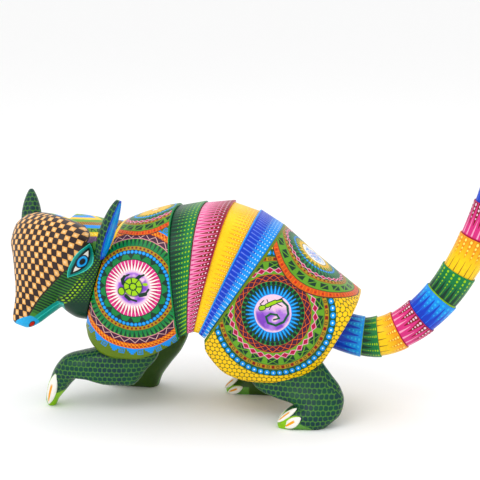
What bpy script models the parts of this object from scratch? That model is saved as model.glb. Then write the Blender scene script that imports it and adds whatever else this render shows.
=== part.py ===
"""Carved and painted wooden armadillo, walking, with a ringed tail.

Row frame: metres, +Z up, the head toward -X, the tail toward +X and the animal's
left side toward -Y.  The feet stand on z = 0.  The tables below are millimetres.
"""
import math

import bmesh
import bpy
from mathutils import Vector

NAME = "alebrije_armadillo"
MM = 0.001
MIDDLE = (16.358, -2.95)   # middle of the box of the tables below
GAP = 0.3                 # air between two glued or seated pieces
BEND = 2.5                # roundness of the arched body section
AROUND = 24               # points on one half of a body section

# Body stations: foot of the section (x, z), crown of the section (x, z),
# half width at the widest, half width at the lower rim.
SHOULDER = (
    ((-105.0, 62.0), (-84.0, 130.5), 38.0, 28.0),
    ((-102.5, 54.5), (-80.0, 132.5), 40.5, 31.5),
    ((-98.0, 48.5), (-75.5, 134.5), 42.0, 34.0),
    ((-91.5, 44.0), (-70.5, 136.5), 43.5, 36.0),
    ((-82.0, 41.3), (-65.5, 138.3), 44.0, 36.5),
    ((-70.0, 41.0), (-60.0, 140.1), 44.5, 36.5),
    ((-58.0, 44.0), (-54.5, 141.7), 44.5, 36.5),
    ((-46.0, 50.5), (-49.5, 142.9), 44.5, 36.0),
    ((-38.2, 56.0), (-45.2, 143.7), 44.5, 35.5),
)
SEAMS = (
    ((-37.6, 57.5), (-44.4, 141.8), 43.5, 35.0),
    ((-32.3, 60.5), (-25.8, 144.6), 43.5, 34.5),
    ((-27.6, 62.0), (-5.4, 145.8), 43.5, 34.5),
    ((-23.6, 61.0), (13.2, 139.6), 43.5, 34.5),
    ((-20.0, 57.5), (29.4, 130.3), 43.5, 34.5),
)
RUMP = (
    ((-19.5, 56.5), (30.4, 130.6), 44.5, 35.0),
    ((-19.4, 50.6), (37.0, 124.4), 45.0, 35.5),
    ((-13.6, 41.6), (44.0, 118.2), 45.5, 36.5),
    ((-3.2, 32.8), (51.5, 111.6), 45.5, 37.0),
    ((14.0, 28.6), (60.0, 104.5), 45.0, 37.0),
    ((30.0, 28.4), (68.5, 97.6), 44.0, 36.5),
    ((46.0, 32.6), (77.0, 90.8), 42.0, 35.5),
    ((62.0, 44.0), (85.0, 84.2), 39.0, 34.0),
)
BANDS = (
    ("band_green", 0, 0.2, 1.2),
    ("band_pink", 1, 0.0, 1.2),
    ("band_yellow", 2, -0.3, -0.3),
    ("band_blue", 3, 1.1, 0.2),
)
SPINE_R = 6.0
SPINE = (-66.0, 28.0)     # ends of the dowel through the body blocks
SPINE_Z = 100.0

# Tail: joint points (x, z) and the direction of the axis there, in degrees,
# with the flared radius of the ring that ends there.
TAIL = (
    (70.0, 57.6, -15.0, 13.6),
    (86.9, 53.4, -5.6, 14.4),
    (98.4, 53.9, 9.0, 14.7),
    (112.4, 59.3, 29.0, 14.0),
    (127.3, 70.1, 41.0, 13.7),
    (140.8, 84.7, 50.5, 13.2),
    (152.2, 102.7, 61.0, 12.7),
    (163.6, 126.1, 68.5, 12.4),
    (172.1, 149.7, 73.0, 11.9),
    (178.6, 172.6, 77.0, 11.2),
    (183.0, 194.2, 81.0, 10.3),
    (185.6, 213.9, 85.0, 9.3),
    (186.8, 231.6, 88.0, 8.2),
)
TIP_LENGTH = 18.0
RING_COLOURS = ("blue", "green", "yellow", "pink")
RING_STEP = 1.0           # each ring starts this much inside the one before
CUP = 3.0                 # depth of the cup that takes the next ring
PEG_R = 6.0
PEG_IN = 24.0             # tail peg inside the rump
PEG_OUT = 12.0            # tail peg inside the first ring

# Head frame: turned toward the animal's left and lowered.
HEAD_YAW = 50.0
HEAD_PITCH = 62.0
HEAD_ORIGIN = (-127.0, -18.0, 124.0)
# Distance down the face from the crown, half width, height of the brow side
# above the axis, depth of the throat side below it.
FACE = (
    (-13.0, 11.0, 6.0, 10.0),
    (-10.5, 23.0, 13.0, 20.0),
    (-5.0, 31.5, 19.0, 27.0),
    (4.0, 35.5, 22.5, 32.0),
    (14.0, 33.5, 22.5, 33.0),
    (25.0, 25.5, 19.0, 32.5),
    (36.0, 18.0, 15.5, 29.0),
    (46.0, 11.8, 12.0, 23.0),
    (54.5, 8.6, 9.8, 16.5),
    (61.5, 6.8, 8.4, 11.5),
    (66.0, 5.4, 7.0, 8.0),
    (68.0, 3.6, 4.5, 4.5),
)
# Neck sections: lowest point (x, z), highest point (x, z), half width, middle y.
NECK = (
    ((-105.2, 62.4), (-85.0, 129.8), 34.0, -2.0),
    ((-112.0, 63.6), (-95.0, 130.8), 33.0, -4.0),
    ((-121.0, 69.8), (-107.0, 134.0), 31.0, -7.0),
    ((-127.5, 79.0), (-118.0, 136.0), 27.0, -10.0),
)
TENON_R = 12.0
TENON = (-112.0, -84.0)   # ends of the neck tenon along the walk
TENON_Z = 101.0

# Ears: side, seat beside the crown in head coordinates (across, along, above),
# direction of the leaf in the same coordinates, and its length.
EARS = {
    "ear_left": (1, (43.4, 3.0, -11.0), (0.24, -0.90, 0.26), 39.0),
    "ear_right": (-1, (-41.4, 6.0, -11.0), (-0.27, -0.92, 0.26), 36.0),
}
EAR_BELOW = 4.0
EAR_HALF = 7.5
EAR_BULGE = 7.8
EAR_OPENS = 30.0
EAR_PEG_R = 3.0
EAR_PEG = 20.0

# Legs: hind edge (x, z), fore edge (x, z), middle y, half width.
FORELEG_LEFT = (
    ((-54.0, 60.0), (-96.0, 60.0), -21.0, 10.0),
    ((-54.5, 42.5), (-99.0, 45.0), -21.5, 11.0),
    ((-63.0, 30.0), (-109.0, 42.0), -23.0, 11.8),
    ((-73.5, 18.6), (-116.0, 40.4), -24.0, 12.0),
    ((-88.0, 18.4), (-121.5, 38.0), -24.5, 11.8),
    ((-101.5, 21.8), (-126.0, 33.5), -24.5, 11.2),
    ((-111.0, 23.0), (-130.0, 27.0), -24.0, 10.4),
    ((-116.0, 19.2), (-133.5, 17.5), -23.0, 9.2),
    ((-122.0, 12.0), (-136.0, 9.5), -22.0, 7.4),
    ((-128.0, 4.5), (-136.8, 4.0), -21.0, 5.2),
    ((-130.0, 0.0), (-135.6, 0.0), -20.6, 3.6),
)
FORELEG_RIGHT = (
    ((-44.5, 61.0), (-78.0, 60.0), 21.0, 10.0),
    ((-41.0, 46.0), (-80.0, 46.0), 22.0, 11.0),
    ((-46.0, 32.5), (-84.0, 32.0), 25.0, 11.8),
    ((-55.0, 20.0), (-87.0, 23.0), 28.5, 12.0),
    ((-62.5, 9.0), (-90.0, 17.0), 32.0, 11.6),
    ((-68.0, -2.0), (-93.0, 13.5), 34.0, 11.0),
    ((-80.0, -2.0), (-97.0, 10.5), 35.0, 10.4),
    ((-90.0, -2.0), (-101.0, 7.0), 35.5, 9.2),
    ((-99.5, -2.0), (-104.0, 2.6), 35.5, 6.0),
)
HINDLEG_LEFT = (
    ((48.0, 62.0), (4.0, 52.0), -22.0, 11.0),
    ((59.0, 43.0), (8.0, 32.0), -23.5, 11.6),
    ((67.5, 32.5), (16.0, 21.5), -27.0, 12.0),
    ((74.0, 25.0), (27.0, 17.8), -31.0, 12.0),
    ((76.8, 17.5), (39.0, 15.6), -34.5, 11.6),
    ((75.2, 9.5), (43.5, 14.0), -37.0, 11.6),
    ((69.5, 3.5), (42.5, 13.2), -38.5, 12.0),
    ((61.0, -2.0), (40.5, 12.2), -39.0, 12.4),
    ((51.0, -2.0), (37.6, 10.0), -39.0, 12.4),
    ((42.0, -2.0), (34.8, 6.6), -39.0, 11.6),
    ((35.5, -2.0), (31.8, 2.0), -39.0, 9.0),
)
HINDLEG_RIGHT = (
    ((46.0, 62.0), (2.0, 54.0), 22.0, 11.0),
    ((50.0, 42.0), (-1.0, 36.0), 23.0, 11.6),
    ((49.0, 31.0), (-3.5, 25.0), 24.5, 12.0),
    ((45.0, 21.0), (-4.5, 18.0), 26.5, 12.0),
    ((40.0, 12.5), (-4.5, 14.0), 27.5, 11.4),
    ((34.5, 5.0), (-5.0, 12.2), 28.0, 10.8),
    ((26.0, -2.0), (-6.0, 10.8), 28.0, 10.4),
    ((12.0, -2.0), (-8.5, 9.0), 28.0, 10.0),
    ((0.0, -2.0), (-11.2, 5.8), 28.0, 9.0),
    ((-9.0, -2.0), (-14.0, 1.8), 28.0, 6.4),
)
LEGS = {
    "foreleg_left": (FORELEG_LEFT, "shoulder_shield"),
    "foreleg_right": (FORELEG_RIGHT, "shoulder_shield"),
    "hindleg_left": (HINDLEG_LEFT, "rump_shield"),
    "hindleg_right": (HINDLEG_RIGHT, "rump_shield"),
}

COLOURS = {
    "green": (0.010, 0.150, 0.060),
    "pink": (0.720, 0.080, 0.240),
    "yellow": (0.900, 0.560, 0.010),
    "blue": (0.005, 0.140, 0.700),
    "leaf": (0.160, 0.380, 0.040),
    "gold": (0.620, 0.420, 0.030),
    "scale": (0.010, 0.080, 0.055),
    "teal": (0.020, 0.250, 0.120),
    "wood": (0.620, 0.420, 0.240),
}


def clear_scene():
    """Leave an empty file."""
    for obj in list(bpy.data.objects):
        bpy.data.objects.remove(obj, do_unlink=True)


def new_collection(name):
    """Collection of that name under the scene."""
    group = bpy.data.collections.new(name)
    bpy.context.scene.collection.children.link(group)
    return group


def material(name, colour):
    """Plain painted-wood material for one sub-part."""
    mat = bpy.data.materials.new(name)
    mat.use_nodes = True
    shader = mat.node_tree.nodes["Principled BSDF"]
    shader.inputs["Base Color"].default_value = (*colour, 1.0)
    shader.inputs["Roughness"].default_value = 0.45
    mat.diffuse_color = (*colour, 1.0)
    return mat


def centred(point):
    """Row-frame place, in metres, of a point of the tables."""
    return (Vector(point) - Vector((MIDDLE[0], MIDDLE[1], 0.0))) * MM


def mesh_object(name, verts, faces, group, colour):
    """Object from points in millimetres, normals outward."""
    bm = bmesh.new()
    points = [bm.verts.new(centred(v)) for v in verts]
    for face in faces:
        bm.faces.new([points[i] for i in face])
    bmesh.ops.recalc_face_normals(bm, faces=bm.faces)
    mesh = bpy.data.meshes.new(name)
    bm.to_mesh(mesh)
    bm.free()
    obj = bpy.data.objects.new(name, mesh)
    group.objects.link(obj)
    mesh.materials.append(material(name, COLOURS[colour]))
    return obj


def loft(name, rings, group, colour):
    """Closed skin over equal rings of points, with a flat face at each end."""
    count = len(rings[0])
    verts = [p for ring in rings for p in ring]
    faces = [list(range(count))]
    for k in range(len(rings) - 1):
        a = k * count
        b = a + count
        for i in range(count):
            j = (i + 1) % count
            faces.append([a + i, a + j, b + j, b + i])
    last = (len(rings) - 1) * count
    faces.append([last + i for i in range(count)])
    return mesh_object(name, verts, faces, group, colour)


def arch(foot, crown, half, rim, grow=0.0, hollow=3.0, count=AROUND):
    """Arched body section in the plane through foot, crown and the Y direction."""
    base = Vector((foot[0], 0.0, foot[1]))
    rise = Vector((crown[0], 0.0, crown[1])) - base
    tall = rise.length + grow
    rise.normalize()
    wide = half + grow
    edge = rim + 0.6 * grow
    waist = 0.45 * tall
    upper = round(count * 0.6)
    lower = count - upper
    side = []
    for i in range(upper):
        turn = 0.5 * math.pi * i / upper
        y = wide * math.sin(turn) ** (2.0 / BEND)
        side.append((y, waist + (tall - waist) * math.cos(turn) ** (2.0 / BEND)))
    for i in range(lower + 1):
        drop = i / lower
        side.append((wide - (wide - edge) * drop ** 2, waist * (1.0 - drop)))
    under = [(edge * (1.0 - t), hollow * math.sin(0.5 * math.pi * t)) for t in (0.3, 0.65, 1.0)]
    right = side + under
    left = [(-y, s) for y, s in reversed(right[1:-1])]
    return [base + rise * s + Vector((0.0, y, 0.0)) for y, s in right + left]


def oval(low, high, middle, half, grow=0.0, bend=2.3, count=24):
    """Rounded section between two points of the side view, across the walk."""
    a = Vector((low[0], middle, low[1]))
    b = Vector((high[0], middle, high[1]))
    centre = (a + b) / 2.0
    reach = (b - a).length / 2.0 + grow
    up = (b - a).normalized()
    ring = []
    for i in range(count):
        turn = 2.0 * math.pi * i / count
        c = math.cos(turn)
        s = math.sin(turn)
        along = math.copysign(abs(c) ** (2.0 / bend), c) * reach
        across = math.copysign(abs(s) ** (2.0 / bend), s) * (half + grow)
        ring.append(centre + up * along + Vector((0.0, across, 0.0)))
    return ring


def blend(a, b, t):
    """Station between two stations."""
    mixed = []
    for p, q in zip(a, b):
        if isinstance(p, tuple):
            mixed.append(tuple(u + (v - u) * t for u, v in zip(p, q)))
        else:
            mixed.append(p + (q - p) * t)
    return mixed


def moved(station, amount):
    """Station shifted along the walk."""
    foot, crown, half, rim = station
    return ((foot[0] + amount, foot[1]), (crown[0] + amount, crown[1]), half, rim)


def shields(group):
    """Shoulder block and rump block."""
    front = [arch(*s, grow=0.0, hollow=6.0) for s in SHOULDER]
    rear = [arch(*s, grow=0.0, hollow=6.0) for s in RUMP]
    return (
        loft("shoulder_shield", front, group, "leaf"),
        loft("rump_shield", rear, group, "gold"),
    )


def band(name, index, front_lip, rear_lip, group):
    """One movable-looking band of the back, thicker toward its proud edge."""
    first = moved(SEAMS[index], 0.5 * GAP)
    last = moved(SEAMS[index + 1], -0.5 * GAP)
    rings = []
    for t in (0.0, 0.33, 0.67, 1.0):
        lip = front_lip + (rear_lip - front_lip) * t
        rings.append(arch(*blend(first, last, t), grow=lip, hollow=2.5))
    return loft(name, rings, group, name.split("_")[1])


def rod(name, start, end, radius, group, colour="wood", count=24):
    """Round rod between two points."""
    a = Vector(start)
    b = Vector(end)
    turn = (b - a).to_track_quat("Z", "Y")
    rings = []
    for end_point in (a, b):
        ring = []
        for i in range(count):
            angle = 2.0 * math.pi * i / count
            spoke = Vector((math.cos(angle) * radius, math.sin(angle) * radius, 0.0))
            ring.append(end_point + turn @ spoke)
        rings.append(ring)
    return loft(name, rings, group, colour)


def combine(target, tool, operation):
    """Exact boolean of one solid into another; the tool is removed."""
    step = target.modifiers.new(operation.lower(), "BOOLEAN")
    step.object = tool
    step.operation = operation
    step.solver = "EXACT"
    bpy.context.view_layer.update()
    shape = bpy.data.meshes.new_from_object(target.evaluated_get(
        bpy.context.evaluated_depsgraph_get()))
    target.modifiers.clear()
    target.data = shape
    bm = bmesh.new()
    bm.from_mesh(shape)
    bmesh.ops.remove_doubles(bm, verts=bm.verts, dist=0.00002)
    bmesh.ops.dissolve_degenerate(bm, edges=bm.edges, dist=0.00001)
    bm.to_mesh(shape)
    bm.free()
    bpy.data.objects.remove(tool, do_unlink=True)


def head_frame():
    """Origin, across (left), along (down the face) and above (brow) axes."""
    yaw = math.radians(HEAD_YAW)
    pitch = math.radians(HEAD_PITCH)
    across = Vector((math.sin(yaw), -math.cos(yaw), 0.0))
    along = Vector((-math.cos(yaw) * math.cos(pitch), -math.sin(yaw) * math.cos(pitch),
                    -math.sin(pitch)))
    above = Vector((-math.cos(yaw) * math.sin(pitch), -math.sin(yaw) * math.sin(pitch),
                    math.cos(pitch)))
    return Vector(HEAD_ORIGIN), across, along, above


def in_head(across, along, above):
    """Point of the head frame in the row frame."""
    origin, u, v, w = head_frame()
    return origin + u * across + v * along + w * above


def face_ring(along, half, over, under, count=32):
    """Section of the head across the face."""
    ring = []
    for i in range(count):
        turn = 2.0 * math.pi * i / count
        c = math.cos(turn)
        s = math.sin(turn)
        power = 2.0 / 2.4
        across = math.copysign(abs(s) ** power, s) * half
        depth = over if c > 0.0 else under
        ring.append(in_head(across, along, math.copysign(abs(c) ** power, c) * depth))
    return ring


def head(group):
    """Head with its neck and the tenon that enters the shoulder block."""
    skull = loft("head", [face_ring(*s) for s in FACE], group, "teal")
    rings = [oval(a, b, y, w, bend=3.2, count=32) for a, b, w, y in NECK]
    neck = loft("neck", rings, group, "teal")
    combine(skull, neck, "UNION")
    tenon = rod("tenon", (TENON[0], 0.0, TENON_Z), (TENON[1], 0.0, TENON_Z), TENON_R, group)
    combine(skull, tenon, "UNION")
    return skull


def ear_frame(name):
    """Seat of an ear, leaf direction, opening direction and leaf width direction."""
    _, u, v, w = head_frame()
    side, seat, lean, _ = EARS[name]
    rise = (u * lean[0] + v * lean[1] + w * lean[2]).normalized()
    turn = math.radians(EAR_OPENS)
    opens = u * side * math.cos(turn) - w * math.sin(turn)
    opens = (opens - rise * opens.dot(rise)).normalized()
    return in_head(*seat), rise, opens, rise.cross(opens)


def ear_peg_line(name):
    """Root of an ear peg and its direction into the head."""
    seat, rise, opens, _ = ear_frame(name)
    return seat + rise * 4.0 - opens * 0.8, head_frame()[1] * -EARS[name][0]


def ear(name, group):
    """Leaf-shaped ear, hollowed on the outer face, with its peg."""
    seat, rise, opens, broad = ear_frame(name)
    length = EARS[name][3]
    rings = []
    for t in (0.0, 0.06, 0.16, 0.3, 0.45, 0.6, 0.74, 0.86, 0.95, 1.0):
        wide = EAR_HALF * max(math.sin(math.pi * (0.04 + 0.93 * t) ** 0.85), 0.05) ** 0.65
        height = t * (length + EAR_BELOW) - EAR_BELOW
        bulge = EAR_BULGE * (wide / EAR_HALF) ** 0.6
        ring = []
        for i in range(16):
            angle = 2.0 * math.pi * i / 16
            out = math.sin(angle) * bulge
            if out > 0.0:
                out = 0.3 * out - 0.22 * bulge * math.sin(angle) ** 2
            ring.append(seat + rise * height + broad * math.cos(angle) * wide + opens * out)
        rings.append(ring)
    leaf = loft(name, rings, group, "teal")
    start, inward = ear_peg_line(name)
    combine(leaf, rod("peg", start, start + inward * EAR_PEG, EAR_PEG_R, group), "UNION")
    return leaf


def ear_socket(name, cutters):
    """Tool for the blind hole of an ear peg."""
    start, inward = ear_peg_line(name)
    return rod("ear_socket", start, start + inward * (EAR_PEG + 0.6), EAR_PEG_R + GAP, cutters)


def leg(name, group):
    """One leg; its top end is the tenon."""
    rings = [oval(a, b, y, w) for a, b, y, w in LEGS[name][0]]
    for ring in rings:
        for point in ring:
            point.z = max(point.z, 0.0)
    return loft(name, rings, group, "scale")


def leg_socket(name, cutters):
    """Tool for the pocket of a leg in its block."""
    stations = LEGS[name][0][:4]
    rings = [oval(a, b, y, w, grow=GAP) for a, b, y, w in stations]
    (low, high, y, w) = stations[0]
    lifted = oval((low[0], low[1] + GAP), (high[0], high[1] + GAP), y, w, grow=GAP)
    return loft("leg_socket", [lifted] + rings[1:], cutters, "scale")


def round_at(point, degrees, radius, shift=0.0, count=28):
    """Circle across the tail axis."""
    angle = math.radians(degrees)
    axis = Vector((math.cos(angle), 0.0, math.sin(angle)))
    up = Vector((-math.sin(angle), 0.0, math.cos(angle)))
    centre = Vector((point[0], 0.0, point[1])) + axis * shift
    ring = []
    for i in range(count):
        turn = 2.0 * math.pi * i / count
        ring.append(centre + up * math.cos(turn) * radius
                    + Vector((0.0, math.sin(turn) * radius, 0.0)))
    return ring


def tail_ring(index, group):
    """Flared tail ring, seated in the cup of the ring before it."""
    x0, z0, a0, r0 = TAIL[index - 1]
    x1, z1, a1, r1 = TAIL[index]
    start = r0 - RING_STEP if index > 1 else r0
    rings = [round_at((x0, z0), a0, start, -CUP + GAP)]
    for t in (0.0, 0.25, 0.5, 0.75, 1.0):
        angle = a0 + (a1 - a0) * t
        bow = math.radians(a1 - a0) * 0.125 * 4.0 * t * (1.0 - t)
        x = x0 + (x1 - x0) * t + bow * (z1 - z0)
        z = z0 + (z1 - z0) * t - bow * (x1 - x0)
        rings.append(round_at((x, z), angle, start + (r1 - start) * t))
    inner = r1 - RING_STEP + GAP
    rings.append(round_at((x1, z1), a1, inner))
    rings.append(round_at((x1, z1), a1, inner, -CUP))
    name = "tail_ring_%02d" % index
    return loft(name, rings, group, RING_COLOURS[(index - 1) % 4])


def tail_tip(group):
    """Rounded end of the tail."""
    x, z, angle, radius = TAIL[-1]
    start = radius - RING_STEP
    rings = [round_at((x, z), angle, start, -CUP + GAP)]
    for t in (0.0, 0.3, 0.55, 0.75, 0.9, 0.97):
        rings.append(round_at((x, z), angle, start * (1.0 - t ** 2.6) ** 0.7, TIP_LENGTH * t))
    rings.append(round_at((x, z), angle, start * 0.08, TIP_LENGTH))
    return loft("tail_tip", rings, group, "blue")


def tail_axis():
    """Root of the tail and its outward direction."""
    x, z, degrees, _ = TAIL[0]
    angle = math.radians(degrees)
    return Vector((x, 0.0, z)), Vector((math.cos(angle), 0.0, math.sin(angle)))


def empty(name, place, group):
    """Parent marking the axis of a piece that comes off."""
    obj = bpy.data.objects.new(name, None)
    obj.location = centred(place)
    obj.empty_display_size = 0.01
    group.objects.link(obj)
    bpy.context.view_layer.update()
    return obj


def parent(child, owner):
    """Parent and keep the place."""
    child.parent = owner
    child.matrix_parent_inverse = owner.matrix_world.inverted()


def build():
    """All sub-parts, their sockets and their parents."""
    group = new_collection(NAME)
    cutters = new_collection("cutters")
    shoulder, rump = shields(group)
    bands = [band(*row, group) for row in BANDS]
    skull = head(group)
    for name in EARS:
        combine(skull, ear_socket(name, cutters), "DIFFERENCE")
    ears = [ear(name, group) for name in EARS]
    owners = {"shoulder_shield": shoulder, "rump_shield": rump}
    for name in LEGS:
        leg(name, group)
        combine(owners[LEGS[name][1]], leg_socket(name, cutters), "DIFFERENCE")
    socket = rod("tenon_socket", (TENON[0], 0.0, TENON_Z), (TENON[1] + 0.6, 0.0, TENON_Z),
                 TENON_R + GAP, cutters)
    combine(shoulder, socket, "DIFFERENCE")
    rod("spine_dowel", (SPINE[0], 0.0, SPINE_Z), (SPINE[1], 0.0, SPINE_Z), SPINE_R, group)
    for block in [shoulder, rump] + bands:
        bore = rod("bore", (SPINE[0] - 0.6, 0.0, SPINE_Z), (SPINE[1] + 0.6, 0.0, SPINE_Z),
                   SPINE_R + GAP, cutters)
        combine(block, bore, "DIFFERENCE")
    root, way = tail_axis()
    recess = rod("recess", root - way * CUP, root + way * 30.0, TAIL[0][3] + GAP, cutters)
    combine(rump, recess, "DIFFERENCE")
    hole = rod("hole", root - way * (PEG_IN + 0.6), root + way * 4.0, PEG_R + GAP, cutters)
    combine(rump, hole, "DIFFERENCE")
    tail = [tail_ring(i, group) for i in range(1, len(TAIL))] + [tail_tip(group)]
    hole = rod("hole", root - way * 5.0, root + way * (PEG_OUT + 0.6), PEG_R + GAP, cutters)
    combine(tail[0], hole, "DIFFERENCE")
    tail.append(rod("tail_peg", root - way * PEG_IN, root + way * PEG_OUT, PEG_R, group))
    pull = empty("tail_axis", root, group)
    for piece in tail:
        parent(piece, pull)
    for piece in ears:
        parent(piece, empty(piece.name + "_axis", ear_frame(piece.name)[0], group))
    cutters.hide_render = True


clear_scene()
build()
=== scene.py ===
"""Looks of a carved and painted wooden armadillo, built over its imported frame.

Row frame: metres, +Z up, the head toward -X, the tail toward +X.  Tables are in
millimetres in the carving's own frame, on the same floor.  The painting is drawn
in the shaders, from the place on the surface.
"""

import math

import bmesh
import bpy
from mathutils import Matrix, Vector


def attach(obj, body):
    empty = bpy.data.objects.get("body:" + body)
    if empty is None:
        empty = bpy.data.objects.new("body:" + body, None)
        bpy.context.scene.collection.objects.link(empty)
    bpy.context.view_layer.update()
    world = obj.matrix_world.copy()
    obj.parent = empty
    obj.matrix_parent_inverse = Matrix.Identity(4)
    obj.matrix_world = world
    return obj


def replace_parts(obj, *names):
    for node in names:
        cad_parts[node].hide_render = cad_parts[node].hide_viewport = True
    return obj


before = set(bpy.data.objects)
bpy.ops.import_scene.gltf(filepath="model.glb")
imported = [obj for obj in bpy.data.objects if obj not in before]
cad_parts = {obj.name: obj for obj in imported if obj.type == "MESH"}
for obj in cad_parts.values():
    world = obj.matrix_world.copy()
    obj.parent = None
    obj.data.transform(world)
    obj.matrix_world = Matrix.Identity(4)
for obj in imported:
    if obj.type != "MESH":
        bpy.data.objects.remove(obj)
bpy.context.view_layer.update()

MM = 0.001
MIDDLE = (16.358, -2.95)   # middle of the carving's box in its own frame
BEND = 2.5                 # roundness of the arched body section
GAP = 0.3                  # air between two pieces
DOME_POINTS = 45           # points of half an arched section above its waist
FLANK_POINTS = 27          # and below it
EASE = 0.2                 # how far a band reaches under its neighbours
SOFT = 0.28                # width of a brush edge
UNIT = 0.685               # millimetres in the unit of the flank medallions
SAG = 0.075                # how much longer they are below their middle
ROW = 0.87                 # rows of studs are this part of a pitch apart
BAND_PITCH = 3.3           # one spike of a band of the back
RING_PITCH = 4.7           # one spike of a tail ring
RING_SPIKES = 17
RING_LENGTH = 19.0

# Body sections: foot x, foot z, crown x, crown z, half width, half width at the rim.
SHOULDER = (
    (-105.0, 62.0, -84.0, 130.5, 38.0, 28.0),
    (-102.5, 54.5, -80.0, 132.5, 40.5, 31.5),
    (-98.0, 48.5, -75.5, 134.5, 42.0, 34.0),
    (-91.5, 44.0, -70.5, 136.5, 43.5, 36.0),
    (-82.0, 41.3, -65.5, 138.3, 44.0, 36.5),
    (-70.0, 41.0, -60.0, 140.1, 44.5, 36.5),
    (-58.0, 44.0, -54.5, 141.7, 44.5, 36.5),
    (-46.0, 50.5, -49.5, 142.9, 44.5, 36.0),
    (-37.7, 56.0, -44.7, 143.7, 44.5, 35.5),
)
SEAMS = (
    (-37.6, 57.5, -44.4, 141.8, 43.5, 35.0),
    (-32.3, 60.5, -25.8, 144.6, 43.5, 34.5),
    (-27.6, 62.0, -5.4, 145.8, 43.5, 34.5),
    (-23.6, 61.0, 13.2, 139.6, 43.5, 34.5),
    (-20.0, 57.5, 29.4, 130.3, 43.5, 34.5),
)
RUMP = (
    (-19.9, 56.5, 29.8, 130.6, 44.5, 35.0),
    (-19.4, 50.6, 37.0, 124.4, 45.0, 35.5),
    (-13.6, 41.6, 44.0, 118.2, 45.5, 36.5),
    (-3.2, 32.8, 51.5, 111.6, 45.5, 37.0),
    (14.0, 28.6, 60.0, 104.5, 45.0, 37.0),
    (30.0, 28.4, 68.5, 97.6, 44.0, 36.5),
    (46.0, 32.6, 77.0, 90.8, 42.0, 35.5),
    (62.0, 44.0, 85.0, 84.2, 39.0, 34.0),
)
# Bands: CAD node, colour, seam it starts at, lift of its front edge and rear edge.
BANDS = (
    ("band_green", "green", 0, 0.2, 1.2),
    ("band_pink", "pink", 1, 0.0, 1.2),
    ("band_yellow", "yellow", 2, -0.3, -0.3),
    ("band_blue", "blue", 3, 1.1, 0.2),
)
# Tail joints: x, z, direction of the axis in degrees, flared radius.
TAIL = (
    (70.0, 57.6, -15.0, 13.6),
    (86.9, 53.4, -5.6, 14.4),
    (98.4, 53.9, 9.0, 14.7),
    (112.4, 59.3, 29.0, 14.0),
    (127.3, 70.1, 41.0, 13.7),
    (140.8, 84.7, 50.5, 13.2),
    (152.2, 102.7, 61.0, 12.7),
    (163.6, 126.1, 68.5, 12.4),
    (172.1, 149.7, 73.0, 11.9),
    (178.6, 172.6, 77.0, 11.2),
    (183.0, 194.2, 81.0, 10.3),
    (185.6, 213.9, 85.0, 9.3),
    (186.8, 231.6, 88.0, 8.2),
)
TIP_LENGTH = 18.0
RING_STEP = 1.0            # each ring starts this much inside the one before
CUP = 3.0                  # depth of the cup that takes the next ring
PEG_R = 6.0                # peg of the tail
PEG_IN = 24.0              # how deep it sits in the rump
RING_ORDER = ("blue", "green", "yellow", "pink")

HEAD_YAW = 50.0            # degrees the face is turned toward the left
HEAD_PITCH = 62.0          # degrees it hangs down
HEAD_ORIGIN = (-127.0, -18.0, 124.0)
# Face sections: distance down the face, half width, height of the brow, depth of the throat.
FACE = (
    (-13.0, 11.0, 6.0, 10.0),
    (-10.5, 23.0, 13.0, 20.0),
    (-5.0, 31.5, 19.0, 27.0),
    (4.0, 35.5, 22.5, 32.0),
    (14.0, 33.5, 22.5, 33.0),
    (25.0, 25.5, 19.0, 32.5),
    (36.0, 18.0, 15.5, 29.0),
    (46.0, 11.8, 12.0, 24.2),
    (54.5, 8.6, 9.8, 18.2),
    (61.5, 6.8, 8.4, 13.0),
    (66.0, 5.4, 7.0, 8.0),
    (68.0, 3.6, 4.5, 4.5),
)
# Neck sections: lowest x, z, highest x, z, middle y, half width.
NECK = (
    (-105.2, 62.4, -85.0, 129.8, -2.0, 34.0),
    (-112.0, 63.6, -95.0, 130.8, -4.0, 33.0),
    (-121.0, 69.8, -107.0, 134.0, -7.0, 31.0),
    (-127.5, 79.0, -118.0, 136.0, -10.0, 27.0),
)
# Ears: side, seat (across, along, above), direction of the leaf, length.
EARS = {
    "ear_left": (1, (43.4, 3.0, -11.0), (0.24, -0.90, 0.26), 39.0),
    "ear_right": (-1, (-41.4, 6.0, -11.0), (-0.27, -0.92, 0.26), 36.0),
}
EAR_BELOW = 4.0            # part of the leaf below its seat
EAR_HALF = 7.5             # half width of the leaf
EAR_BULGE = 7.8            # depth of its back
EAR_OPENS = 30.0           # degrees the hollow is turned forward
EAR_PEG_R = 3.0
EAR_PEG = 20.0             # length of the peg
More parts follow.
